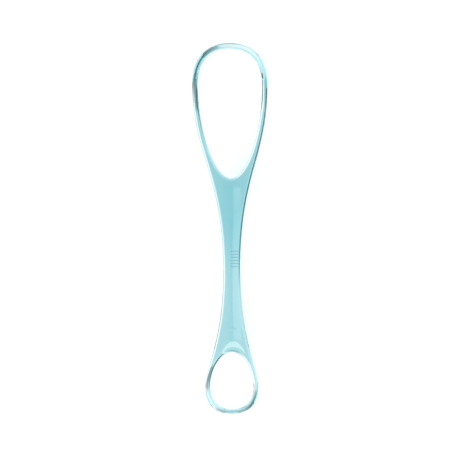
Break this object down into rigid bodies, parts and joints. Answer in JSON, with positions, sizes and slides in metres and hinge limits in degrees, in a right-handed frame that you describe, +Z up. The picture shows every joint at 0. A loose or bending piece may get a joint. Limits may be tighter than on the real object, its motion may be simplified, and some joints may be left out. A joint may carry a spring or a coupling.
{
  "type": "tongue scraper",
  "caption": "Clear aqua plastic tongue scraper with a wide scraping loop, a waisted arched handle and a narrow scraping loop.",
  "frame": {"origin": "middle of the tool's length and width, at the level of the two scraping lips", "axes": "+Y along the tool towards the wide loop, +Z up towards the crown of the arched handle, +X to the right seen from above"},
  "size_m": [0.0344, 0.17, 0.0127],
  "materials": {
    "aqua_plastic": "clear, pale aqua, polished by the mould"
  },
  "bodies": {
    "root": {"wide_loop": "aqua_plastic", "handle": "aqua_plastic", "narrow_loop": "aqua_plastic"}
  },
  "joints": []
}
